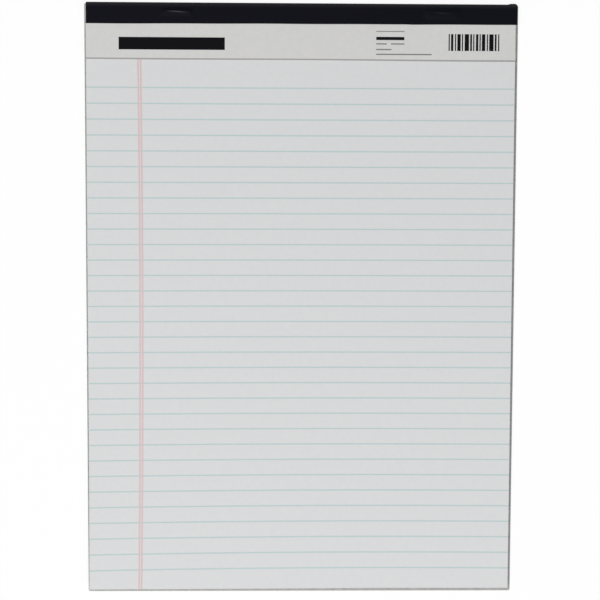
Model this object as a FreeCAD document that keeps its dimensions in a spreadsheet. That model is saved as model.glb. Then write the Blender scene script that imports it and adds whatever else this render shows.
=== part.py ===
"""A letter-size legal pad, bound at the head, lying face up. Sizes are in millimetres.

X runs across the pad, +Y points to the bound head and +Z up. The origin is the middle of the
underside of the pad's box. Every piece is drawn from the middle of the sheets' head edge, so the
head is at y = 0 and the sheets' foot at y = -pad_length, and its Placement puts it in the pad.

From the table up: the tape's back flap, the backing board, the ruled sheets, the header label
and the tape's front flap. The layers are flush at the head. The board stands out a little at the
sides and at the foot, and the tape at the right. Two wire staples go through label, sheets and
board under the tape.
"""
import FreeCAD, Part
import math
import os
import Sketcher
from FreeCAD import Rotation, Vector

DRIVING_SIZES = [
    ("pad_width", 215.9, "sheets, letter width, 8.5 in"),
    ("pad_length", 298.45, "sheets, letter length and the stub above the tear line, 11.75 in"),
    ("sheet_count", 50, "ruled sheets in the pile"),
    ("sheet_thickness", 0.085, "one sheet of writing paper"),
    ("board_thickness", 0.76, "grey chipboard behind the sheets"),
    ("board_left_margin", 1.5, "board past the sheets at the left"),
    ("board_right_margin", 2.0, "board past the sheets at the right"),
    ("board_foot_margin", 2.8, "board past the sheets at the foot"),
    ("board_corner_radius", 1.0, "round of the board's corners at the foot"),
    ("label_thickness", 0.25, "card strip at the head"),
    ("label_depth", 28.6, "from the head edge to the label's lower edge"),
    ("tape_thickness", 0.18, "binding tape"),
    ("tape_overhang", 0.8, "tape past the sheets at the right"),
    ("front_flap_depth", 10.5, "tape on the front, from the head edge"),
    ("back_flap_depth", 12.5, "tape on the back, from the head edge"),
    ("shoulder_radius", 0.9, "round of the pile's upper head edge, inside the tape"),
    ("heel_radius", 0.35, "round of the pile's lower head edge, inside the tape"),
    ("tear_line_inset", 19.05, "tear line below the head edge, 0.75 in"),
    ("tear_slit_length", 1.6, "one cut of the tear line"),
    ("tear_slit_width", 0.15, "width of a cut"),
    ("tear_slit_pitch", 3.0, "from one cut to the next"),
    ("tear_line_margin", 2.5, "uncut paper at each end of the tear line"),
    ("sheet_step", 0.06, "how far every second sheet stands out at the pile's open edges"),
    ("wire_thickness", 0.5, "flat staple wire, across the crown's bends"),
    ("wire_width", 0.7, "flat staple wire, along the pad"),
    ("wire_clearance", 0.05, "round the wire in its holes and beds"),
    ("inner_bend_radius", 0.3, "inside of the staple's bends"),
    ("crown_width", 12.7, "staple, over the outside of its legs, 0.5 in"),
    ("clinch_length", 4.6, "leg turned in behind the board, from the leg's outside"),
    ("tip_bevel", 0.4, "slant of a leg's cut end"),
    ("crown_bed_depth", 0.15, "how far the crown is pressed into the label"),
    ("clinch_gap", 0.03, "between the clinched wire and the tape behind it"),
    ("staple_spacing", 133.2, "between the middles of the two staples"),
    ("staple_shift", 4.1, "from the sheets' middle to the pair's middle, to the right"),
    ("staple_inset", 4.6, "from the head edge to the staples"),
    ("blister_radius", 1.1, "inside of the tape's rise over a crown"),
    ("blister_clearance", 0.1, "between the crown and the top of the tape's rise"),
]

BOARD_UNDERSIDE = "Sizes.tape_thickness"
BOARD_TOP = f"({BOARD_UNDERSIDE} + Sizes.board_thickness)"
PILE_HEIGHT = "(Sizes.sheet_count * Sizes.sheet_thickness)"
SHEETS_TOP = f"({BOARD_TOP} + {PILE_HEIGHT})"
LABEL_TOP = f"({SHEETS_TOP} + Sizes.label_thickness)"
TAPE_TOP = f"({LABEL_TOP} + Sizes.tape_thickness)"
HEAD_EDGE_Y = "(Sizes.pad_length + Sizes.board_foot_margin - Sizes.tape_thickness) / 2"
SHEETS_MIDDLE = "((Sizes.board_left_margin - Sizes.board_right_margin) / 2)"

CROWN_TOP = f"({LABEL_TOP} - Sizes.crown_bed_depth + Sizes.wire_thickness)"
CLINCH_UNDERSIDE = f"({BOARD_UNDERSIDE} + Sizes.clinch_gap)"
BLISTER_TOP = f"({CROWN_TOP} + Sizes.blister_clearance)"
SLIT_COUNT = (
    "floor((Sizes.pad_width - 2 * Sizes.tear_line_margin - Sizes.tear_slit_length)"
    " / Sizes.tear_slit_pitch) + 1"
)

SIDES = (-1, 1)

doc = FreeCAD.newDocument("LegalPad")


def make_size_sheet():
    """The driving dimensions, one a row: name, value, what it is."""
    sheet = doc.addObject("Spreadsheet::Sheet", "Sizes")
    for row, (alias, value, meaning) in enumerate(DRIVING_SIZES, start=1):
        sheet.set(f"A{row}", alias)
        sheet.set(f"B{row}", str(value))
        sheet.set(f"C{row}", meaning)
        sheet.setAlias(f"B{row}", alias)
    doc.recompute()


def put(piece, along_x=SHEETS_MIDDLE, along_y=HEAD_EDGE_Y, up="0"):
    """Bind the place of a piece's own origin in the pad."""
    piece.setExpression("Placement.Base.x", along_x)
    piece.setExpression("Placement.Base.y", along_y)
    piece.setExpression("Placement.Base.z", up)


def new_sketch(body, name, plane_role):
    """A sketch on one of the body's own origin planes."""
    plane = next(p for p in body.Origin.OriginFeatures if p.Role == plane_role)
    sketch = body.newObject("Sketcher::SketchObject", name)
    sketch.AttachmentSupport = [(plane, "")]
    sketch.MapMode = "FlatFace"
    return sketch


def bind(sketch, kind, *where_and_size):
    """Add a dimension to a sketch, tied to an expression of the driving sizes."""
    *where, expression = where_and_size
    value = float(sketch.evalExpression(expression))
    index = sketch.addConstraint(Sketcher.Constraint(kind, *where, value))
    sketch.setExpression(f"Constraints[{index}]", expression)


def hold(sketch, edge, end, place):
    """Hold one end of an edge at a place given by two expressions.

    In a sketch, an edge's first end is 1 and its last end 2, and (-1, 1) is the sketch's origin.
    """
    bind(sketch, "DistanceX", -1, 1, edge, end, place[0])
    bind(sketch, "DistanceY", -1, 1, edge, end, place[1])


def draw_outline(sketch, corners):
    """Draw a closed outline through corners, each rounded by its own radius.

    A corner is (x, y, radius) in expressions, with None for a sharp one. Both edges of a round
    corner run along the sketch's axes, and end one radius short of it, where the round begins.
    """

    def as_point(x, y):
        return Vector(float(sketch.evalExpression(x)), float(sketch.evalExpression(y)), 0)

    rough = [as_point(x, y) for x, y, radius in corners]

    def edge_end(index, neighbour):
        x, y, radius = corners[index]
        if radius is None:
            return x, y
        way = rough[neighbour] - rough[index]
        if abs(way.x) > abs(way.y):
            return f"({x}) {'+' if way.x > 0 else '-'} ({radius})", y
        return x, f"({y}) {'+' if way.y > 0 else '-'} ({radius})"

    edges = []
    for index in range(len(corners)):
        following = (index + 1) % len(corners)
        first, last = edge_end(index, following), edge_end(following, index)
        edge = sketch.addGeometry(Part.LineSegment(as_point(*first), as_point(*last)))
        hold(sketch, edge, 1, first)
        hold(sketch, edge, 2, last)
        edges.append(edge)

    for index, (x, y, radius) in enumerate(corners):
        if radius is None:
            continue
        before, after = edges[index - 1], edges[index]
        start, end = sketch.getPoint(before, 2), sketch.getPoint(after, 1)
        centre = start + end - rough[index]
        turn = (rough[index] - start).cross(end - rough[index]).z
        first, last = (start, end) if turn > 0 else (end, start)
        circle = Part.Circle(centre, Vector(0, 0, 1), (start - centre).Length)
        angles = [math.atan2(point.y - centre.y, point.x - centre.x) for point in (first, last)]
        arc = sketch.addGeometry(Part.ArcOfCircle(circle, *angles))
        arc_at_before, arc_at_after = (1, 2) if turn > 0 else (2, 1)
        sketch.addConstraint(Sketcher.Constraint("Coincident", arc, arc_at_before, before, 2))
        sketch.addConstraint(Sketcher.Constraint("Coincident", arc, arc_at_after, after, 1))
        bind(sketch, "Radius", arc, radius)


def draw_rectangle(sketch, low_x, high_x, low_y, high_y):
    """Draw a rectangle between four expressions."""
    draw_outline(
        sketch,
        [
            (low_x, low_y, None),
            (high_x, low_y, None),
            (high_x, high_y, None),
            (low_x, high_y, None),
        ],
    )


def add_pad(body, sketch, length, symmetric=False):
    """Pad a sketch by a bound length, half to each side of its plane if symmetric."""
    pad = body.newObject("PartDesign::Pad", f"{body.Name}_pad")
    pad.Profile = sketch
    if symmetric:
        pad.SideType = "Symmetric"
    pad.setExpression("Length", length)
    return pad


def cut_through(body, sketch):
    """Cut a sketch on the body's underside through everything above it."""
    pocket = body.newObject("PartDesign::Pocket", f"{sketch.Name}_pocket")
    pocket.Profile = sketch
    pocket.Type = "ThroughAll"
    pocket.Reversed = True
    return pocket


def repeat(body, feature, axis, pitch, count):
    """Repeat a feature along an axis, as the body's last step so far."""
    row = body.newObject("PartDesign::LinearPattern", f"{feature.Name}_row")
    row.Originals = [feature]
    row.Direction = axis
    row.Mode = "Spacing"
    row.setExpression("Offset", pitch)
    row.setExpression("Occurrences", count)
    body.Tip = row


def draw_plan(sketch, depth, inset="0"):
    """Draw the plan of a layer as wide as the sheets, kept in from its sides and foot."""
    half_width = f"(Sizes.pad_width / 2 - {inset})"
    draw_rectangle(sketch, f"-{half_width}", half_width, f"-({depth} - {inset})", "0")


def make_bound_pile():
    """The form that board, sheets and label are pressed to together, round at the head edge.

    It is wider than the board on both sides.
    """
    body = doc.addObject("PartDesign::Body", "bound_pile")
    side = new_sketch(body, "bound_pile_side", "YZ_Plane")
    foot = "-(Sizes.pad_length + Sizes.board_foot_margin)"
    draw_outline(
        side,
        [
            (foot, BOARD_UNDERSIDE, None),
            ("0", BOARD_UNDERSIDE, "Sizes.heel_radius"),
            ("0", LABEL_TOP, "Sizes.shoulder_radius"),
            (foot, LABEL_TOP, None),
        ],
    )
    width = "Sizes.pad_width + 2 * (Sizes.board_left_margin + Sizes.board_right_margin)"
    add_pad(body, side, width, symmetric=True)
    put(body)
    return body


def make_board():
    """The chipboard, a little larger than the sheets, with round corners at the foot."""
    board = doc.addObject("PartDesign::Body", "board_blank")
    plan = new_sketch(board, "board_plan", "XY_Plane")
    left = "-(Sizes.pad_width / 2 + Sizes.board_left_margin)"
    right = "Sizes.pad_width / 2 + Sizes.board_right_margin"
    foot = "-(Sizes.pad_length + Sizes.board_foot_margin)"
    draw_outline(
        plan,
        [
            (left, foot, "Sizes.board_corner_radius"),
            (right, foot, "Sizes.board_corner_radius"),
            (right, "0", None),
            (left, "0", None),
        ],
    )
    add_pad(board, plan, "Sizes.board_thickness")
    put(board, up=BOARD_UNDERSIDE)
    return board


def make_sheets():
    """The pile of sheets as one solid, with its layered edges and its tear line.

    Every second sheet stands out a little at the foot and the sides, up to the pad's full size.
    The tear line is a row of slits through all of them, under the label.
    """
    sheets = doc.addObject("PartDesign::Body", "sheets_blank")
    core_plan = new_sketch(sheets, "core_plan", "XY_Plane")
    draw_plan(core_plan, "Sizes.pad_length", inset="Sizes.sheet_step")
    add_pad(sheets, core_plan, PILE_HEIGHT)

    sheet_plan = new_sketch(sheets, "sheet_plan", "XY_Plane")
    sheet_plan.setExpression("AttachmentOffset.Base.z", "Sizes.sheet_thickness")
    draw_plan(sheet_plan, "Sizes.pad_length")
    second_sheet = add_pad(sheets, sheet_plan, "Sizes.sheet_thickness")
    every_second = ("2 * Sizes.sheet_thickness", "floor(Sizes.sheet_count / 2)")
    repeat(sheets, second_sheet, (sheet_plan, ["N_Axis"]), *every_second)

    slit = new_sketch(sheets, "tear_slit", "XY_Plane")
    first_middle = f"(({SLIT_COUNT} - 1) * -Sizes.tear_slit_pitch / 2)"
    draw_rectangle(
        slit,
        f"{first_middle} - Sizes.tear_slit_length / 2",
        f"{first_middle} + Sizes.tear_slit_length / 2",
        "-Sizes.tear_line_inset - Sizes.tear_slit_width / 2",
        "-Sizes.tear_line_inset + Sizes.tear_slit_width / 2",
    )
    repeat(sheets, cut_through(sheets, slit), (slit, ["H_Axis"]), "Sizes.tear_slit_pitch", SLIT_COUNT)
    put(sheets, up=BOARD_TOP)
    return sheets


def make_label():
    """The card strip across the head, over the tear line."""
    label = doc.addObject("PartDesign::Body", "label_blank")
    plan = new_sketch(label, "label_plan", "XY_Plane")
    draw_plan(plan, "Sizes.label_depth")
    add_pad(label, plan, "Sizes.label_thickness")
    put(label, up=SHEETS_TOP)
    return label


def staple_middle(side):
    """How far along X a staple's middle is."""
    return f"({SHEETS_MIDDLE} + {side} * Sizes.staple_spacing / 2 + Sizes.staple_shift)"


def make_wire(name, side, gap="0", bevel="Sizes.tip_bevel"):
    """Flat wire bent to a clinched staple, left or right on the pad.

    Its outline is seen along the pad: over the crown, down the legs' outside to the clinched
    ends, and back along the inside. A gap all round, and square ends, make the hole that the
    wire leaves.
    """
    outside = f"(Sizes.crown_width / 2 + {gap})"
    inside = f"(Sizes.crown_width / 2 - Sizes.wire_thickness - {gap})"
    tip = f"(Sizes.crown_width / 2 - Sizes.clinch_length - {gap})"
    cut_end = f"({tip} + {bevel})"
    crown_top = f"({CROWN_TOP} + {gap})"
    crown_underside = f"({CROWN_TOP} - Sizes.wire_thickness - {gap})"
    clinch_top = f"({CLINCH_UNDERSIDE} + Sizes.wire_thickness + {gap})"
    clinch_underside = f"({CLINCH_UNDERSIDE} - {gap})"
    outer_bend = f"(Sizes.inner_bend_radius + Sizes.wire_thickness + {gap})"
    inner_bend = f"(Sizes.inner_bend_radius - {gap})"

    body = doc.addObject("PartDesign::Body", name)
    outline = new_sketch(body, f"{name}_outline", "XZ_Plane")
    draw_outline(
        outline,
        [
            (f"-{tip}", clinch_underside, None),
            (f"-{outside}", clinch_underside, outer_bend),
            (f"-{outside}", crown_top, outer_bend),
            (outside, crown_top, outer_bend),
            (outside, clinch_underside, outer_bend),
            (tip, clinch_underside, None),
            (cut_end, clinch_top, None),
            (inside, clinch_top, inner_bend),
            (inside, crown_underside, inner_bend),
            (f"-{inside}", crown_underside, inner_bend),
            (f"-{inside}", clinch_top, inner_bend),
            (f"-{cut_end}", clinch_top, None),
        ],
    )
    add_pad(body, outline, f"Sizes.wire_width + 2 * {gap}", symmetric=True)
    put(body, staple_middle(side), f"{HEAD_EDGE_Y} - Sizes.staple_inset")
    return body


def make_blister(name, side, radius):
    """A round-ended bar over a crown: the form of the tape's inside or outside there."""
    reach = "(Sizes.crown_width / 2 + Sizes.wire_clearance - Sizes.blister_radius / 2)"
    axis_height = f"{BLISTER_TOP} - Sizes.blister_radius"
    middle = staple_middle(side)
    along_y = f"{HEAD_EDGE_Y} - Sizes.staple_inset"
    bar = doc.addObject("Part::Cylinder", f"{name}_bar")
    bar.Placement.Rotation = Rotation(Vector(0, 1, 0), 90)
    bar.setExpression("Radius", radius)
    bar.setExpression("Height", f"2 * {reach}")
    put(bar, f"{middle} - {reach}", along_y, axis_height)
    parts = [bar]
    for end in SIDES:
        ball = doc.addObject("Part::Sphere", f"{name}_ball")
        ball.setExpression("Radius", radius)
        put(ball, f"{middle} + {end} * {reach}", along_y, axis_height)
        parts.append(ball)
    return join(name, parts)


def join(name, parts):
    """Fuse several objects."""
    fused = doc.addObject("Part::MultiFuse", name)
    fused.Shapes = parts
    return fused


def cut(name, base, tool):
    """Take one object away from another."""
    result = doc.addObject("Part::Cut", name)
    result.Base = base
    result.Tool = tool
    return result


def pierce(node, layer, pile_form, wire_holes):
    """A finished layer: rounded at the head with the whole pile, and pierced by the staples."""
    pressed = doc.addObject("Part::Common", f"{node}_pressed")
    pressed.Base = layer
    pressed.Tool = pile_form
    return cut(node, pressed, wire_holes)


def make_tape_strip():
    """The tape as glued on: front flap, head wall and back flap in one fold."""
    strip = doc.addObject("PartDesign::Body", "tape_strip")
    side = new_sketch(strip, "tape_side", "YZ_Plane")
    draw_outline(
        side,
        [
            ("-Sizes.back_flap_depth", "0", None),
            ("Sizes.tape_thickness", "0", "Sizes.heel_radius + Sizes.tape_thickness"),
            ("Sizes.tape_thickness", TAPE_TOP, "Sizes.shoulder_radius + Sizes.tape_thickness"),
            ("-Sizes.front_flap_depth", TAPE_TOP, None),
            ("-Sizes.front_flap_depth", LABEL_TOP, None),
            ("0", LABEL_TOP, "Sizes.shoulder_radius"),
            ("0", BOARD_UNDERSIDE, "Sizes.heel_radius"),
            ("-Sizes.back_flap_depth", BOARD_UNDERSIDE, None),
        ],
    )
    add_pad(strip, side, "Sizes.pad_width + Sizes.tape_overhang", symmetric=True)
    put(strip, f"{SHEETS_MIDDLE} + Sizes.tape_overhang / 2")
    return strip


def make_tape(pile_form):
    """The tape with a rise over each crown, hollow underneath where the crown lies."""
    skin = "Sizes.blister_radius + Sizes.tape_thickness"
    rises = [make_blister(f"rise_{index}", side, skin) for index, side in enumerate(SIDES)]
    hollows = [
        make_blister(f"hollow_{index}", side, "Sizes.blister_radius")
        for index, side in enumerate(SIDES)
    ]
    raised = join("raised_tape", [make_tape_strip(), *rises])
    return cut("binding_tape", cut("open_tape", raised, pile_form), join("hollows", hollows))


def make_staples():
    """Both staples, as a group of two separate solids."""
    wires = [make_wire(f"staple_{index}", side) for index, side in enumerate(SIDES)]
    staples = doc.addObject("Part::Compound", "staples")
    staples.Links = wires
    return staples


def make_wire_holes():
    """What the staples' wire leaves in the layers: the wire's own form with its clearance."""
    holes = [
        make_wire(f"wire_hole_{index}", side, gap="Sizes.wire_clearance", bevel="0")
        for index, side in enumerate(SIDES)
    ]
    return join("wire_holes", holes)


def check_document():
    """Stop if any object failed to build."""
    doc.recompute()
    for item in doc.Objects:
        if "Invalid" in item.State or "Error" in item.State:
            raise RuntimeError(f"{item.Name} failed: {item.State}")


def write_pieces(pieces):
    """Write each piece to its own file, named by its label."""
    os.makedirs("parts", exist_ok=True)
    for piece in pieces:
        shape = piece.Shape
        if shape.isNull() or not shape.isValid():
            raise RuntimeError(f"{piece.Label} has no valid shape")
        print(piece.Label, len(shape.Solids), round(shape.Volume, 3), shape.BoundBox)
    for piece in pieces:
        piece.Shape.exportStep(f"parts/{piece.Label}.step")


make_size_sheet()
pile_form = make_bound_pile()
wire_holes = make_wire_holes()
pieces = [
    pierce("backing_board", make_board(), pile_form, wire_holes),
    pierce("ruled_sheets", make_sheets(), pile_form, wire_holes),
    pierce("header_label", make_label(), pile_form, wire_holes),
    make_tape(pile_form),
    make_staples(),
]
check_document()
write_pieces(pieces)
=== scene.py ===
"""Looks of a letter-size ruled pad: lifted top page, sheet stack, head label, tape, board, staples.

Every length is in metres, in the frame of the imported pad. X goes to the right, Y to the head.
"""

import bpy
import numpy as np
from mathutils import Matrix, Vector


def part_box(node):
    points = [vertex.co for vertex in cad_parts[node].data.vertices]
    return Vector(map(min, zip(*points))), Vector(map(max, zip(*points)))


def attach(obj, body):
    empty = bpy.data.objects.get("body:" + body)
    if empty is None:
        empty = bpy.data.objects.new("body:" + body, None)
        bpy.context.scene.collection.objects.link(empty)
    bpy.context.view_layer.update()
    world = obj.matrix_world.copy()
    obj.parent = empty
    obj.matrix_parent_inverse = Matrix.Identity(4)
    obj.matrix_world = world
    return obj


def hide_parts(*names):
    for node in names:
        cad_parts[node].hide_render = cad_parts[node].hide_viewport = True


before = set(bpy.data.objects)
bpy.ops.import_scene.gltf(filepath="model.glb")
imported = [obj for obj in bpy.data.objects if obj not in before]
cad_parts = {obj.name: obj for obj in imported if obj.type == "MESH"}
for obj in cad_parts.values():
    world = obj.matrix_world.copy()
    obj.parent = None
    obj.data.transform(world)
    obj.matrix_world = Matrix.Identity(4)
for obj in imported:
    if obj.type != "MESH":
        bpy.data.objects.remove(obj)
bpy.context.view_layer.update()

# One millimetre
MM = 0.001

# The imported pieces' places
BOARD_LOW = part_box("backing_board")[0]
SHEETS_LOW, SHEETS_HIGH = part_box("ruled_sheets")
LABEL_LOW, LABEL_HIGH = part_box("header_label")
TAPE_LOW, TAPE_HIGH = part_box("binding_tape")
STAPLES_LOW, STAPLES_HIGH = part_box("staples")
LEFT = SHEETS_LOW.x
RIGHT = SHEETS_HIGH.x
FOOT = SHEETS_LOW.y
HEAD = SHEETS_HIGH.y
PAGE_WIDTH = RIGHT - LEFT
PAGE_LENGTH = HEAD - FOOT
PAGE_MIDDLE_X = (LEFT + RIGHT) / 2
PAGE_MIDDLE_Y = (FOOT + HEAD) / 2

# The stack of sheets
SHEET_COUNT = 50
SHEET_PITCH = (SHEETS_HIGH.z - SHEETS_LOW.z) / SHEET_COUNT
SHEET_THICKNESS = 0.93 * SHEET_PITCH
EDGE_JOG = 0.13 * MM
STACK_SLANT = 0.85 * MM
LIFTED_SHEETS = 14
SHEET_COLUMNS = 16
SHEET_ROWS = 26

# How far the top page stands up at the foot, and how far past the page's middle that begins
LIFT_LEFT = 2.0 * MM
LIFT_ALL = 0.3 * MM
LIFT_REACH_UP = 30 * MM
LIFT_REACH_RIGHT = 60 * MM
PAGE_WAVE = 0.06 * MM

# The top page's grid, between the printed lines
PAGE_STEP_X = 4.0 * MM
PAGE_STEP_Y = 2.65 * MM

# The ruling, from the head edge down and from the left edge in
FIRST_RULE = 41.18 * MM
RULE_PITCH = 7.9375 * MM
RULE_COUNT = 32
RULE_WIDTH = 0.7 * MM
MARGIN_MIDDLE = 27.03 * MM
MARGIN_OVERALL = 2.15 * MM
MARGIN_LINE = 0.88 * MM
BOW_FADE_FOOT = 9.5 * MM
BOW_FADE_HEAD = 30 * MM

# Places of the printed finishes and of the label's painted shadow in the lists of the page and the
# label
RULE_INK = 1
MARGIN_INK = 2
DARK_INK = 1
GREY_INK = 2
PAINTED_SHADOW_INK = 3

# The label's grid, its painted shadow strip along the lower edge and its curled corner
LABEL_STEP_X = 3 * MM
LABEL_STEP_Y = 1.2 * MM
LABEL_GAP = 0.005 * MM
SHADOW_STRIP_DEPTH = 0.8 * MM
EDGE_REACH = 2.5 * MM
CURL_HEIGHT = 0.45 * MM
CURL_WIDTH = 45 * MM
CURL_DEPTH = 14 * MM

# The head edge, pressed round over and under
SHOULDER_RADIUS = 0.9 * MM
HEEL_RADIUS = 0.35 * MM

# The binding tape
TAPE_THICKNESS = 0.18 * MM
TAPE_COLUMNS = 430
FRONT_FLAP_DEPTH = 10.2 * MM
# How far below the head the painted sheen along the fold, partly wear, reaches
SHEEN_AND_WEAR_DEPTH = 2.8 * MM

# The staples' crowns under the tape, and the slopes that the tape makes round them
CROWN_RISE = 0.45 * MM
CROWN_HALF_WIDTH = 6.35 * MM
CROWN_HALF_DEPTH = 0.35 * MM
CROWN_Y = (STAPLES_LOW.y + STAPLES_HIGH.y) / 2
LEFT_CROWN_X = STAPLES_LOW.x + CROWN_HALF_WIDTH
RIGHT_CROWN_X = STAPLES_HIGH.x - CROWN_HALF_WIDTH
LEFT_SLOPE = 1.9 * MM
RIGHT_SLOPE = 3.6 * MM

# The camera, placed from the middle of the top page
CAMERA_TURNS = np.radians([3.604, 0.981, -0.143])
CAMERA_SHIFT = np.array([0.235, -0.09]) * MM
CAMERA_DISTANCE = 600 * MM
PIXELS_PER_TANGENT = 1.96198 * 600
SENSOR_WIDTH = 36.0
IMAGE_WIDTH = 600

# The studio
FLOOR_REACH = 3.0
FLOOR_DROP = 0.02 * MM
FLOOR_GLOW = 0.9
WORLD_LIGHT = 0.30

# Edges that turn by more than this are sharp
SHARP_ANGLE = np.radians(50)

rng = np.random.default_rng(31)


def smooth_rise(t):
    """Goes from 0 to 1 as t does, level at both ends: 3t^2 - 2t^3, with t held between 0 and 1."""
    t = np.clip(t, 0, 1)
    return t * t * (3 - 2 * t)


def page_lift(x, y):
    """How far the loose page stands up over the stack.

    u goes from 0 at LIFT_REACH_UP above the page's middle to 1 at the foot, and w from 0 at
    LIFT_REACH_RIGHT right of the middle to 1 at the left edge. The lift is
    u^2 (LIFT_LEFT w^1.5 + LIFT_ALL), and a slow wave of up to 2 PAGE_WAVE, which fades out from
    120 mm to 30 mm below the head, is added to it.
    """
    across = x - PAGE_MIDDLE_X
    up = y - PAGE_MIDDLE_Y
    u = np.clip((LIFT_REACH_UP - up) / (LIFT_REACH_UP + PAGE_LENGTH / 2), 0, None)
    w = np.clip((LIFT_REACH_RIGHT - across) / (LIFT_REACH_RIGHT + PAGE_WIDTH / 2), 0, None)
    wave = 1 + np.sin(across / (31 * MM) + 0.8) * np.sin(up / (43 * MM) + 0.4)
    fade = smooth_rise((HEAD - 30 * MM - y) / (90 * MM))
    return u**2 * (LIFT_LEFT * w**1.5 + LIFT_ALL) + PAGE_WAVE * wave * fade


def bow_ruling(x, y):
    """The ruling's small run out of true, as shifts along X and Y of a point of the page.

    u and v go from -1 to 1 across and up the page. Rules shift by -2.1 v - 0.75 v^2 + 2.24 v^3
    + 0.2 u - 0.2 uv - 0.24 u^2 + 0.45 u^2 v mm, which fades out at the foot and the head. Margin
    lines shift by 0.17 v - 0.88 v^2 mm, which fades out from them to the sides.
    """
    u = (x - PAGE_MIDDLE_X) / (PAGE_WIDTH / 2)
    v = (y - PAGE_MIDDLE_Y) / (PAGE_LENGTH / 2)
    along_y = -2.1 * v - 0.75 * v**2 + 2.24 * v**3
    along_y = along_y + 0.2 * u - 0.2 * u * v - 0.24 * u**2 + 0.45 * u**2 * v
    at_foot = smooth_rise((y - FOOT) / BOW_FADE_FOOT)
    at_head = smooth_rise((HEAD - y) / BOW_FADE_HEAD)
    along_x = 0.17 * v - 0.88 * v**2
    margin = LEFT + MARGIN_MIDDLE
    from_side = np.minimum((x - LEFT) / MARGIN_MIDDLE, (RIGHT - x) / (RIGHT - margin))
    return along_x * np.clip(from_side, 0, 1) * MM, along_y * at_foot * at_head * MM


def head_edge(z):
    """Where the pile's head edge is at height z.

    Above the shoulder's centre it follows the shoulder's arc, HEAD - r + sqrt(r^2 - (z - centre)^2).
    """
    centre = LABEL_HIGH.z - SHOULDER_RADIUS
    above = np.clip(z - centre, 0, SHOULDER_RADIUS)
    return HEAD - SHOULDER_RADIUS + np.sqrt(SHOULDER_RADIUS**2 - above**2)


def places_with(low, high, breaks, step):
    """Sorted places from low to high: the breaks, and even ones not within step / 3 of a break."""
    even = np.linspace(low, high, int(round((high - low) / step)) + 1)[1:-1]
    near = np.abs(even[:, None] - breaks[None, :]).min(1) < step / 3
    return np.unique(np.concatenate([[low, high], breaks, even[~near]]))


def slab_faces(rows, columns):
    """Four-sided faces of a closed slab: over face, under face, foot, head, right and left side.

    The over grid's points come first, row by row, and the under grid's points after them.
    """
    n = rows * columns
    over = np.arange(n).reshape(rows, columns)
    under = over + n
    a, b, c, d = over[:-1, :-1], over[:-1, 1:], over[1:, 1:], over[1:, :-1]
    top = np.stack([a, b, c, d], -1).reshape(-1, 4)
    bottom = np.stack([a + n, d + n, c + n, b + n], -1).reshape(-1, 4)
    foot = np.stack([under[0, :-1], under[0, 1:], over[0, 1:], over[0, :-1]], -1)
    head = np.stack([under[-1, 1:], under[-1, :-1], over[-1, :-1], over[-1, 1:]], -1)
    right = np.stack([under[:-1, -1], under[1:, -1], over[1:, -1], over[:-1, -1]], -1)
    left = np.stack([under[1:, 0], under[:-1, 0], over[:-1, 0], over[1:, 0]], -1)
    return np.concatenate([top, bottom, foot, head, right, left])


def make_piece(name, points, faces, finishes, finish_of_face, smooth):
    """A mesh object at the origin from its points and four-sided faces."""
    mesh = bpy.data.meshes.new(name)
    mesh.from_pydata(points.reshape(-1, 3).tolist(), [], faces.tolist())
    for finish in finishes:
        mesh.materials.append(finish)
    mesh.polygons.foreach_set("material_index", finish_of_face.astype(np.int32))
    mesh.polygons.foreach_set("use_smooth", smooth)
    mesh.set_sharp_from_angle(angle=SHARP_ANGLE)
    mesh.update()
    piece = bpy.data.objects.new(name, mesh)
    bpy.context.scene.collection.objects.link(piece)
    return piece


def make_slab(name, over, under, finishes, finish_of_top=None):
    """A closed slab between two grids of points, over and under, of shape (rows, columns, 3).

    Its broad faces are smooth and its narrow sides flat. The top faces take the finishes given.
    """
    rows, columns = over.shape[:2]
    faces = slab_faces(rows, columns)
    count = (rows - 1) * (columns - 1)
    finish_of_face = np.zeros(len(faces), int)
    if finish_of_top is not None:
        finish_of_face[:count] = finish_of_top.ravel()
    smooth = np.zeros(len(faces), bool)
    smooth[: 2 * count] = True
    points = np.concatenate([over.reshape(-1, 3), under.reshape(-1, 3)])
    return make_piece(name, points, faces, finishes, finish_of_face, smooth)


def new_finish(name, colour, roughness, specular):
    """A material with a Principled shader, and the values that are the same all over."""
    finish = bpy.data.materials.new(name)
    finish.use_nodes = True
    shader = finish.node_tree.nodes["Principled BSDF"]
    shader.inputs["Base Color"].default_value = (*colour, 1)
    shader.inputs["Roughness"].default_value = roughness
    shader.inputs["Specular IOR Level"].default_value = specular
    return finish


def add_node(finish, kind, **settings):
    """A node of a material's tree, with its settings."""
    node = finish.node_tree.nodes.new(kind)
    for key, value in settings.items():
        setattr(node, key, value)
    return node


def join_sockets(finish, start, end):
    """A link from one socket to another."""
    finish.node_tree.links.new(start, end)


def add_math(finish, operation, first, second, use_clamp=False):
    """The result of a sum on a socket and a second socket or number."""
    node = add_node(finish, "ShaderNodeMath", operation=operation, use_clamp=use_clamp)
    join_sockets(finish, first, node.inputs[0])
    if isinstance(second, float):
        node.inputs[1].default_value = second
    else:
        join_sockets(finish, second, node.inputs[1])
    return node.outputs[0]


def add_grain(finish, size, detail, stretch=(1, 1, 1)):
    """A noise on Object coordinates, with grains of a size in metres, longer where stretch is."""
    place_of = add_node(finish, "ShaderNodeTexCoord")
    mapping = add_node(finish, "ShaderNodeMapping")
    mapping.inputs["Scale"].default_value = tuple(1 / (size * s) for s in stretch)
    grain = add_node(finish, "ShaderNodeTexNoise")
    grain.inputs["Scale"].default_value = 1.0
    grain.inputs["Detail"].default_value = detail
    join_sockets(finish, place_of.outputs["Object"], mapping.inputs["Vector"])
    join_sockets(finish, mapping.outputs["Vector"], grain.inputs["Vector"])
    return grain.outputs["Fac"]


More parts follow.
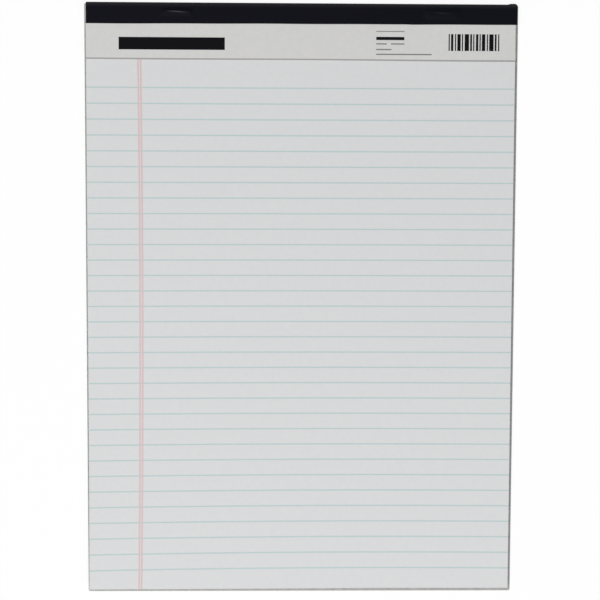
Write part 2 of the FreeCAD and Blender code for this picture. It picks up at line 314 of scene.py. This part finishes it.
def add_tone(finish, pattern, low, high, dark, light):
    """A colour that goes from dark to light as the pattern goes from low to high."""
    ramp = add_node(finish, "ShaderNodeValToRGB")
    ramp.color_ramp.elements[0].position = low
    ramp.color_ramp.elements[0].color = (*dark, 1)
    ramp.color_ramp.elements[1].position = high
    ramp.color_ramp.elements[1].color = (*light, 1)
    join_sockets(finish, pattern, ramp.inputs["Fac"])
    return ramp.outputs["Color"]


def blend_tones(finish, share, first, second):
    """A colour that is the first where the share is 0 and the second where it is 1."""
    mix = add_node(finish, "ShaderNodeMix", data_type="RGBA")
    join_sockets(finish, share, mix.inputs["Factor"])
    # The mix node keeps its colours in these places
    join_sockets(finish, first, mix.inputs[6])
    join_sockets(finish, second, mix.inputs[7])
    return mix.outputs[2]


def paint(finish, colour):
    """The shader's base colour comes from a node."""
    shader = finish.node_tree.nodes["Principled BSDF"]
    join_sockets(finish, colour, shader.inputs["Base Color"])


def add_relief(finish, pattern, height, strength):
    """Bumps of a height in metres where the pattern is 1, on top of any bumps added before."""
    shader = finish.node_tree.nodes["Principled BSDF"]
    bump = add_node(finish, "ShaderNodeBump")
    bump.inputs["Distance"].default_value = height
    bump.inputs["Strength"].default_value = strength
    join_sockets(finish, pattern, bump.inputs["Height"])
    before = shader.inputs["Normal"].links
    if before:
        join_sockets(finish, before[0].from_socket, bump.inputs["Normal"])
    join_sockets(finish, bump.outputs["Normal"], shader.inputs["Normal"])


def shade(colour, factor):
    """A colour made darker or lighter by a factor."""
    return tuple(min(1.0, c * factor) for c in colour)


def make_paper(name, colour, cloud=0.012):
    """Uncoated paper: cloudy formation, and a fine tooth that the fibres leave."""
    finish = new_finish(name, colour, 0.82, 0.22)
    clouds = add_grain(finish, 2.2 * MM, 5)
    thin = shade(colour, 1 - cloud)
    thick = shade(colour, 1 + cloud)
    paint(finish, add_tone(finish, clouds, 0.3, 0.7, thin, thick))
    tooth = add_grain(finish, 0.22 * MM, 4, (1, 1.8, 1))
    add_relief(finish, tooth, 0.012 * MM, 0.5)
    return finish


def make_print(name, colour, specular=0.2):
    """Ink that soaked into paper, a little uneven along its length."""
    finish = new_finish(name, colour, 0.75, specular)
    patches = add_grain(finish, 0.5 * MM, 3)
    full = shade(colour, 0.95)
    faint = shade(colour, 1.06)
    paint(finish, add_tone(finish, patches, 0.3, 0.75, full, faint))
    return finish


def add_glint_patch(finish, middle, strength):
    """A soft narrow patch round a place, where a highlight is painted.

    Its share falls from 1.6 strength at the middle to 0 at 6.2 mm along X and 0.5 mm along Y.
    """
    place_of = add_node(finish, "ShaderNodeTexCoord")
    mapping = add_node(finish, "ShaderNodeMapping", vector_type="TEXTURE")
    mapping.inputs["Location"].default_value = middle
    mapping.inputs["Scale"].default_value = (6.2 * MM, 0.5 * MM, 5 * MM)
    mapping.inputs["Rotation"].default_value = (0, 0, -0.06)
    patch = add_node(finish, "ShaderNodeTexGradient", gradient_type="SPHERICAL")
    join_sockets(finish, place_of.outputs["Object"], mapping.inputs["Vector"])
    join_sockets(finish, mapping.outputs["Vector"], patch.inputs["Vector"])
    return add_math(finish, "MULTIPLY", patch.outputs["Fac"], 1.6 * strength, use_clamp=True)


def add_sheen_and_wear_band(finish, low, high, strength):
    """A share for painted sheen and wear that rises along Y as strength t^2, where t goes from 0 at
    low to 1 at high.
    """
    place_of = add_node(finish, "ShaderNodeTexCoord")
    parts = add_node(finish, "ShaderNodeSeparateXYZ")
    span = add_node(finish, "ShaderNodeMapRange")
    span.inputs["From Min"].default_value = low
    span.inputs["From Max"].default_value = high
    join_sockets(finish, place_of.outputs["Object"], parts.inputs["Vector"])
    join_sockets(finish, parts.outputs["Y"], span.inputs["Value"])
    steep = add_math(finish, "POWER", span.outputs["Result"], 2.0)
    return add_math(finish, "MULTIPLY", steep, strength)


def make_tape_cloth(name):
    """Dark crepe paper tape: cross ribs, a fibrous grain, and painted highlight over the crowns and
    along the head edge, partly wear.
    """
    colour = (0.0030, 0.0031, 0.0066)
    finish = new_finish(name, colour, 0.6, 0.07)
    fibres = add_grain(finish, 0.35 * MM, 5, (2.5, 1, 1))
    cloth = add_tone(finish, fibres, 0.3, 0.75, shade(colour, 0.75), shade(colour, 1.5))
    # Lighter patches over the two crowns: a painted highlight, partly rub wear
    left_crown_glint = add_glint_patch(finish, (LEFT_CROWN_X, CROWN_Y, TAPE_HIGH.z), 0.45)
    right_crown_glint = add_glint_patch(finish, (RIGHT_CROWN_X, CROWN_Y, TAPE_HIGH.z), 0.08)
    # A lighter tone for painted highlight, partly wear
    sheen_and_wear = add_tone(finish, fibres, 0.3, 0.75, (0.07, 0.07, 0.074), (0.11, 0.11, 0.115))
    cloth = blend_tones(finish, left_crown_glint, cloth, sheen_and_wear)
    cloth = blend_tones(finish, right_crown_glint, cloth, sheen_and_wear)
    # Lighter towards the head edge: a painted sheen on the rounded fold, partly wear
    fold = add_sheen_and_wear_band(finish, HEAD - SHEEN_AND_WEAR_DEPTH, HEAD, 0.3)
    paint(finish, blend_tones(finish, fold, cloth, sheen_and_wear))
    ribs = add_grain(finish, 0.3 * MM, 3, (0.8, 6, 6))
    add_relief(finish, fibres, 0.02 * MM, 0.6)
    add_relief(finish, ribs, 0.015 * MM, 0.5)
    return finish


def make_chipboard(name):
    """Grey recycled board: soft mottling, dark and light fibre flecks, and pressed layers."""
    grey = (0.40, 0.395, 0.385)
    finish = new_finish(name, grey, 0.88, 0.18)
    mottling = add_grain(finish, 3.0 * MM, 6)
    base = add_tone(finish, mottling, 0.3, 0.7, shade(grey, 0.92), shade(grey, 1.08))
    dark_flecks = add_grain(finish, 0.5 * MM, 2, (1, 3, 1))
    speck = add_tone(finish, dark_flecks, 0.62, 0.68, (0, 0, 0), (1, 1, 1))
    dark = add_tone(finish, mottling, 0.3, 0.7, shade(grey, 0.55), shade(grey, 0.7))
    flecked = blend_tones(finish, speck, base, dark)
    light_flecks = add_grain(finish, 0.42 * MM, 2, (3, 1, 1))
    chip = add_tone(finish, light_flecks, 0.64, 0.70, (0, 0, 0), (1, 1, 1))
    light = add_tone(finish, mottling, 0.3, 0.7, shade(grey, 1.35), shade(grey, 1.5))
    paint(finish, blend_tones(finish, chip, flecked, light))
    layers = add_grain(finish, 0.12 * MM, 3, (12, 12, 1))
    add_relief(finish, layers, 0.03 * MM, 0.5)
    return finish


def make_wire_steel(name):
    """Galvanised staple wire, drawn along its length."""
    finish = new_finish(name, (0.62, 0.62, 0.64), 0.34, 0.5)
    finish.node_tree.nodes["Principled BSDF"].inputs["Metallic"].default_value = 1.0
    scratches = add_grain(finish, 0.1 * MM, 3, (12, 1, 1))
    paint(finish, add_tone(finish, scratches, 0.3, 0.7, (0.5, 0.5, 0.52), (0.7, 0.7, 0.72)))
    add_relief(finish, scratches, 0.004 * MM, 0.5)
    return finish


WHITE_PAPER = (0.69, 0.694, 0.70)
page_paper = make_paper("page_paper", WHITE_PAPER)
stack_paper = make_paper("stack_paper", shade(WHITE_PAPER, 0.99))
rule_ink = make_print("rule_ink", (0.497, 0.612, 0.603))
margin_ink = make_print("margin_ink", (0.685, 0.525, 0.535))
label_card = make_paper("label_card", (0.648, 0.645, 0.635), 0.02)
label_black = make_print("label_black", (0.006, 0.006, 0.008), 0.05)
label_grey = make_print("label_grey", (0.19, 0.19, 0.195))
# Grey painted shadow under the label's lower edge, made like print
label_painted_shadow = make_print("label_painted_shadow", (0.36, 0.355, 0.35))
tape_cloth = make_tape_cloth("tape_cloth")
chipboard = make_chipboard("chipboard")
wire_steel = make_wire_steel("wire_steel")


def line_ends(middles, width):
    """Both edges of each printed line, from the lines' middles and their width."""
    return (middles[:, None] + np.array([-0.5, 0.5]) * width).ravel()


def cells_on_lines(edges, middles, width):
    """Which cells between neighbouring edges lie on a printed line."""
    cells = (edges[1:] + edges[:-1]) / 2
    return np.abs(cells[:, None] - middles[None, :]).min(1) < width / 2


def make_top_page():
    """The top sheet with its ruling, as one closed slab whose faces end at each printed line.

    The point (x, y) of its upper face is at the stack's top + page_lift(x, y), after the shift
    that bow_ruling gives. Its foot edge wavers by 0.05 mm, as a trimmed pile's edge does.
    """
    rule_middles = HEAD - FIRST_RULE - RULE_PITCH * np.arange(RULE_COUNT)
    margin = LEFT + MARGIN_MIDDLE
    offset = (MARGIN_OVERALL - MARGIN_LINE) / 2
    margin_middles = np.array([margin - offset, margin + offset])
    x = places_with(LEFT, RIGHT, line_ends(margin_middles, MARGIN_LINE), PAGE_STEP_X)
    y = places_with(FOOT, HEAD, line_ends(rule_middles, RULE_WIDTH), PAGE_STEP_Y)
    grid_x, grid_y = np.meshgrid(x, y)
    along_edge = smooth_rise((FOOT + 6 * MM - grid_y) / (6 * MM))
    grid_y = grid_y + along_edge * 0.05 * MM * np.sin(grid_x / (27 * MM))
    shift_x, shift_y = bow_ruling(grid_x, grid_y)
    grid_x = grid_x + shift_x
    grid_y = grid_y + shift_y
    top_z = SHEETS_HIGH.z + page_lift(grid_x, grid_y)
    grid_y = np.minimum(grid_y, head_edge(SHEETS_HIGH.z))
    over = np.stack([grid_x, grid_y, top_z], -1)
    under = over - np.array([0, 0, SHEET_THICKNESS])
    ink = np.zeros((len(y) - 1, len(x) - 1), int)
    ink[cells_on_lines(y, rule_middles, RULE_WIDTH)] = RULE_INK
    ink[:, cells_on_lines(x, margin_middles, MARGIN_LINE)] = MARGIN_INK
    return make_slab("ruled_page", over, under, [page_paper, rule_ink, margin_ink], ink)


def make_sheet_stack():
    """The 49 sheets under the top page, as closed slabs in one mesh.

    Sheet k lies at low + k pitch. The upper ones share the page's lift, by (1 - t / 14)^1.3 for
    the sheet t below the top page. From the top down the stack leans left, by STACK_SLANT at the
    lowest sheet's left side and half of that at its right side. Each sheet's sides and foot stop
    a little out of line.
    """
    k = np.arange(SHEET_COUNT - 1)
    share = np.clip(1 - (SHEET_COUNT - 1 - k) / LIFTED_SHEETS, 0, None) ** 1.3
    low = SHEETS_LOW.z + k * SHEET_PITCH
    jog = rng.uniform(0, EDGE_JOG, (3, len(k)))
    drift = 0.5 * EDGE_JOG * (1 + np.sin(k / 5.0))
    lean = STACK_SLANT * (1 - k / (SHEET_COUNT - 1)) ** 0.8
    left = LEFT + jog[0] * 0.7 - lean
    right = RIGHT - jog[1] * 0.6 - drift * 0.4 - lean * 0.5
    foot = FOOT + jog[2] * 0.6 + drift * 0.4
    head = head_edge(low + SHEET_THICKNESS)
    s = np.linspace(0, 1, SHEET_COLUMNS)
    t = np.linspace(0, 1, SHEET_ROWS)
    x = left[:, None, None] + (right - left)[:, None, None] * s[None, None, :]
    y = foot[:, None, None] + (head - foot)[:, None, None] * t[None, :, None]
    x, y = np.broadcast_arrays(x, y)
    z = low[:, None, None] + share[:, None, None] * page_lift(x, y)
    under = np.stack([x, y, z], -1)
    over = under + np.array([0, 0, SHEET_THICKNESS])
    points = np.concatenate([over.reshape(len(k), -1, 3), under.reshape(len(k), -1, 3)], 1)
    one = slab_faces(SHEET_ROWS, SHEET_COLUMNS)
    faces = (one[None] + (np.arange(len(k)) * points.shape[1])[:, None, None]).reshape(-1, 4)
    count = (SHEET_ROWS - 1) * (SHEET_COLUMNS - 1)
    smooth = np.zeros((len(k), len(one)), bool)
    smooth[:, : 2 * count] = True
    finish_of_face = np.zeros(len(faces), int)
    return make_piece("sheet_stack", points, faces, [stack_paper], finish_of_face, smooth.ravel())


def label_shapes():
    """Plain printed shapes on the label: left, right, down from, down to, and finish, in mm.

    A dark bar, small rows of thin bars, and a block of upright bars.
    """
    shapes = [
        (16.3, 69.5, 17.2, 23.4, DARK_INK),
        (145.6, 159.8, 13.5, 13.9, GREY_INK),
        (145.6, 159.8, 16.4, 18.0, DARK_INK),
        (145.6, 151.0, 19.6, 20.2, GREY_INK),
        (153.0, 159.8, 19.6, 20.2, GREY_INK),
        (145.6, 153.3, 22.4, 23.0, GREY_INK),
        (145.6, 173.6, 24.8, 25.4, GREY_INK),
    ]
    widths = [0.6, 1.2, 0.6, 1.7, 0.6, 2.2, 0.9]
    gaps = [0.6, 0.8, 0.6]
    start = 182.1
    block_end = 208.6
    step = 0
    while start + widths[step % len(widths)] < block_end:
        end = start + widths[step % len(widths)]
        shapes.append((start, end, 14.8, 23.2, DARK_INK))
        start += widths[step % len(widths)] + gaps[step % len(gaps)]
        step += 1
    return np.array(shapes)


def make_label():
    """The printed strip across the head, under the tape, with a painted shadow along its lower edge.

    Its lower edge stops short by 0.42 - 0.1 sin 9t - 0.25t mm, where t goes from 0 to 1 across.
    Its face waves by 0.03 mm, and its lower right end curls up as CURL_HEIGHT c^2, where c goes
    from 0 to 1 over the last CURL_WIDTH and CURL_DEPTH.
    """
    shapes = label_shapes()
    breaks_x = LEFT + np.unique(shapes[:, :2].ravel()) * MM
    breaks_y = HEAD - np.unique(shapes[:, 2:4].ravel()) * MM
    breaks_y = np.append(breaks_y, LABEL_LOW.y + SHADOW_STRIP_DEPTH)
    x = places_with(LEFT, RIGHT, breaks_x, LABEL_STEP_X)
    y = places_with(LABEL_LOW.y, HEAD, breaks_y, LABEL_STEP_Y)
    grid_x, grid_y = np.meshgrid(x, y)
    t = (grid_x - LEFT) / PAGE_WIDTH
    near_edge = smooth_rise((LABEL_LOW.y + EDGE_REACH - grid_y) / EDGE_REACH)
    skew = (0.42 - 0.1 * np.sin(9 * t) - 0.25 * t) * MM
    placed_y = grid_y + near_edge * skew
    curl = smooth_rise((grid_x - RIGHT + CURL_WIDTH) / CURL_WIDTH)
    curl = curl * smooth_rise((LABEL_LOW.y + CURL_DEPTH - grid_y) / CURL_DEPTH)
    wave = 0.015 * (1 + np.sin(grid_x / (17 * MM))) * MM
    wave = wave * smooth_rise((HEAD - 12 * MM - grid_y) / (5 * MM))
    over_z = LABEL_HIGH.z + wave + CURL_HEIGHT * curl**2
    under_z = LABEL_LOW.z + wave + CURL_HEIGHT * curl**2 + LABEL_GAP
    over = np.stack([grid_x, np.minimum(placed_y, head_edge(LABEL_HIGH.z)), over_z], -1)
    under = np.stack([grid_x, np.minimum(placed_y, head_edge(LABEL_LOW.z)), under_z], -1)
    middle_x = ((x[1:] + x[:-1]) / 2 - LEFT) / MM
    middle_y = (HEAD - (y[1:] + y[:-1]) / 2) / MM
    inside_x = (middle_x > shapes[:, :1]) & (middle_x < shapes[:, 1:2])
    inside_y = (middle_y > shapes[:, 2:3]) & (middle_y < shapes[:, 3:4])
    covered = inside_y[:, :, None] & inside_x[:, None, :]
    ink = (covered * shapes[:, 4][:, None, None]).max(0).astype(int)
    # The strip along the lower edge is painted grey, as a painted shadow under the label's edge
    ink[0] = PAINTED_SHADOW_INK
    finishes = [label_card, label_black, label_grey, label_painted_shadow]
    return make_slab("label_strip", over, under, finishes, ink)


def staple_rise(x, y):
    """The tape's rise over the two crowns, from 0 to 1.

    Over a crown's rectangle it is 1, and it falls away smoothly over LEFT_SLOPE round the left
    crown and over RIGHT_SLOPE round the right one.
    """
    rise = np.zeros_like(x)
    for middle_x, slope in ((LEFT_CROWN_X, LEFT_SLOPE), (RIGHT_CROWN_X, RIGHT_SLOPE)):
        beyond_x = np.abs(x - middle_x) - CROWN_HALF_WIDTH
        beyond_y = np.abs(y - CROWN_Y) - CROWN_HALF_DEPTH
        rise = np.maximum(rise, smooth_rise(1 - beyond_x / slope) * smooth_rise(1 - beyond_y / slope))
    return rise


def tape_profile(offset):
    """The tape's cross-section at a distance outside the pile: its y, its z, and the flap's count.

    Front flap, quarter circle over the shoulder, head wall, quarter circle under the heel, back
    flap. The places along it are the same for every offset.
    """
    shoulder_y = HEAD - SHOULDER_RADIUS
    shoulder_z = LABEL_HIGH.z - SHOULDER_RADIUS
    heel_y = HEAD - HEEL_RADIUS
    heel_z = BOARD_LOW.z + HEEL_RADIUS
    turn = np.linspace(np.pi / 2, 0, 9)
    flat = np.linspace(HEAD - FRONT_FLAP_DEPTH, shoulder_y, 28)[:-1]
    # A second row close to the front edge keeps that edge crisp
    flat = np.concatenate([flat[:1], flat[:1] + 0.06 * MM, flat[1:]])
    back = np.linspace(heel_y, TAPE_LOW.y, 12)[1:]
    shoulder = SHOULDER_RADIUS + offset
    heel = HEEL_RADIUS + offset
    wall = np.linspace(shoulder_z, heel_z, 6)[1:-1]
    parts_y = [flat, shoulder_y + shoulder * np.cos(turn), np.full(len(wall), HEAD + offset)]
    parts_y += [heel_y + heel * np.cos(turn[::-1]), back]
    parts_z = [np.full(len(flat), LABEL_HIGH.z + offset), shoulder_z + shoulder * np.sin(turn), wall]
    parts_z += [heel_z - heel * np.sin(turn[::-1]), np.full(len(back), BOARD_LOW.z - offset)]
    return np.concatenate(parts_y), np.concatenate(parts_z), len(flat)


def make_tape():
    """The binding tape: its cross-section carried along X, as one closed slab.

    Its front edge runs 0.6 mm askew, wanders by 0.09 mm and steps down 0.14 mm. At the head its
    ends draw in by 0.35 mm, and it swells by 0.4 mm near the right end. It rises over the
    staples' crowns.
    """
    x = np.linspace(TAPE_LOW.x, TAPE_HIGH.x, TAPE_COLUMNS)
    grids = []
    for offset in (TAPE_THICKNESS, 0.0):
        y, z, flat = tape_profile(offset)
        grid_x, grid_y = np.meshgrid(x, y)
        grid_z = np.repeat(z[:, None], len(x), 1)
        on_flap = np.zeros_like(grid_y)
        on_flap[:flat] = smooth_rise((HEAD - 6 * MM - grid_y[:flat]) / (4 * MM))
        wander = 0.05 * np.sin(grid_x / (19 * MM)) + 0.04 * np.sin(grid_x / (7.3 * MM) + 1)
        step = 0.14 * smooth_rise((grid_x - 52 * MM) / (4 * MM))
        askew = 0.15 - 0.3 * grid_x / TAPE_HIGH.x
        grid_y = grid_y - on_flap * (wander + step + askew - 0.1) * MM
        rise = staple_rise(grid_x, grid_y)
        rise[flat:] = 0
        grid_z = grid_z + rise * CROWN_RISE
        end = smooth_rise((grid_x - TAPE_HIGH.x + 1.0 * MM) / (1.0 * MM))
        end = np.maximum(end, smooth_rise((TAPE_LOW.x + 0.6 * MM - grid_x) / (0.6 * MM)) * 0.5)
        at_head = smooth_rise((grid_y - HEAD + 1.5 * MM) / (1.5 * MM))
        nub = smooth_rise((grid_x - TAPE_HIGH.x + 5.0 * MM) / (2.0 * MM))
        grid_y = grid_y + (0.4 * nub * (1 - end) - 0.35 * end**2) * at_head * MM
        grids.append(np.stack([grid_x, grid_y, grid_z], -1))
    over, under = grids
    return make_slab("tape_wrap", over, under, [tape_cloth])


def place(piece, node):
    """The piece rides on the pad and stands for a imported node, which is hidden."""
    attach(piece, "root")
    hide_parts(node)


def dress_node(node, finish):
    """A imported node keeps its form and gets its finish."""
    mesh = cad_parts[node].data
    mesh.materials.clear()
    mesh.materials.append(finish)


place(make_top_page(), "ruled_sheets")
place(make_sheet_stack(), "ruled_sheets")
place(make_label(), "header_label")
place(make_tape(), "binding_tape")
dress_node("backing_board", chipboard)
dress_node("staples", wire_steel)


def make_floor():
    """A plain white floor that looks white to the camera and keeps the pad's soft shadow.

    Rays from the camera, a mirror or a clear body see its glow by the share FLOOR_GLOW.
    """
    side = FLOOR_REACH
    points = np.array([[-side, -side, 0], [side, -side, 0], [side, side, 0], [-side, side, 0]])
    points[:, 2] = -FLOOR_DROP
    finish = new_finish("floor_white", (0.95, 0.95, 0.95), 0.9, 0.0)
    tree = finish.node_tree
    shader = tree.nodes["Principled BSDF"]
    glow = add_node(finish, "ShaderNodeEmission")
    glow.inputs["Strength"].default_value = 1.0
    path = add_node(finish, "ShaderNodeLightPath")
    seen = path.outputs["Is Camera Ray"]
    for ray in ("Is Glossy Ray", "Is Transmission Ray"):
        seen = add_math(finish, "MAXIMUM", seen, path.outputs[ray])
    share = add_math(finish, "MULTIPLY", seen, FLOOR_GLOW)
    mix = add_node(finish, "ShaderNodeMixShader")
    join_sockets(finish, share, mix.inputs[0])
    join_sockets(finish, shader.outputs[0], mix.inputs[1])
    join_sockets(finish, glow.outputs[0], mix.inputs[2])
    join_sockets(finish, mix.outputs[0], tree.nodes["Material Output"].inputs["Surface"])
    faces = np.array([[0, 1, 2, 3]])
    floor = make_piece("floor", points, faces, [finish], np.zeros(1, int), np.zeros(1, bool))


def make_world():
    """Even light from all round, seen as white by the camera."""
    world = bpy.data.worlds.new("studio")
    bpy.context.scene.world = world
    world.use_nodes = True
    tree = world.node_tree
    light = tree.nodes["Background"]
    light.inputs["Color"].default_value = (1, 1, 1, 1)
    light.inputs["Strength"].default_value = WORLD_LIGHT
    white = tree.nodes.new("ShaderNodeBackground")
    white.inputs["Strength"].default_value = 1.0
    white.inputs["Color"].default_value = (1, 1, 1, 1)
    path = tree.nodes.new("ShaderNodeLightPath")
    mix = tree.nodes.new("ShaderNodeMixShader")
    tree.links.new(path.outputs["Is Camera Ray"], mix.inputs[0])
    tree.links.new(light.outputs[0], mix.inputs[1])
    tree.links.new(white.outputs[0], mix.inputs[2])
    tree.links.new(mix.outputs[0], tree.nodes["World Output"].inputs["Surface"])


def make_lamp(name, place_at, size, watts):
    """A square lamp at a place, turned to face the pad's middle."""
    lamp = bpy.data.lights.new(name, "AREA")
    lamp.shape = "SQUARE"
    lamp.size = size
    lamp.energy = watts
    holder = bpy.data.objects.new(name, lamp)
    bpy.context.scene.collection.objects.link(holder)
    back = np.array(place_at, float)
    back = back / np.linalg.norm(back)
    right = np.cross([0.0, 1.0, 0.0], back)
    right = right / np.linalg.norm(right)
    turn = np.eye(4)
    turn[:3, 0] = right
    turn[:3, 1] = np.cross(back, right)
    turn[:3, 2] = back
    turn[:3, 3] = place_at
    holder.matrix_world = Matrix(turn.tolist())


def make_camera():
    """The camera looks down on the pad, a little from the head and from the left.

    R = Rz Ry Rx turns the pad's frame to the camera's. The camera stands at the middle of the top
    page + R^T (-shift_x, -shift_y, distance), and its own axes are the rows of R.
    """
    rx, ry, rz = CAMERA_TURNS
    about_x = np.array([[1, 0, 0], [0, np.cos(rx), -np.sin(rx)], [0, np.sin(rx), np.cos(rx)]])
    about_y = np.array([[np.cos(ry), 0, np.sin(ry)], [0, 1, 0], [-np.sin(ry), 0, np.cos(ry)]])
    about_z = np.array([[np.cos(rz), -np.sin(rz), 0], [np.sin(rz), np.cos(rz), 0], [0, 0, 1]])
    turned = about_z @ about_y @ about_x
    middle = np.array([PAGE_MIDDLE_X, PAGE_MIDDLE_Y, SHEETS_HIGH.z])
    offset = np.array([-CAMERA_SHIFT[0], -CAMERA_SHIFT[1], CAMERA_DISTANCE])
    pose = np.eye(4)
    pose[:3, :3] = turned.T
    pose[:3, 3] = middle + turned.T @ offset
    camera = bpy.data.cameras.new("camera")
    camera.sensor_width = SENSOR_WIDTH
    camera.lens = PIXELS_PER_TANGENT * SENSOR_WIDTH / IMAGE_WIDTH
    camera.clip_start = 0.05
    camera.clip_end = 20
    holder = bpy.data.objects.new("camera", camera)
    bpy.context.scene.collection.objects.link(holder)
    holder.matrix_world = Matrix(pose.tolist())
    bpy.context.scene.camera = holder


make_floor()
make_world()
make_lamp("key", (-0.6, -0.25, 1.55), 0.5, 14)
make_lamp("fill", (0.7, -0.85, 1.4), 1.0, 9.9)
make_camera()
bpy.context.scene.view_settings.view_transform = "Standard"
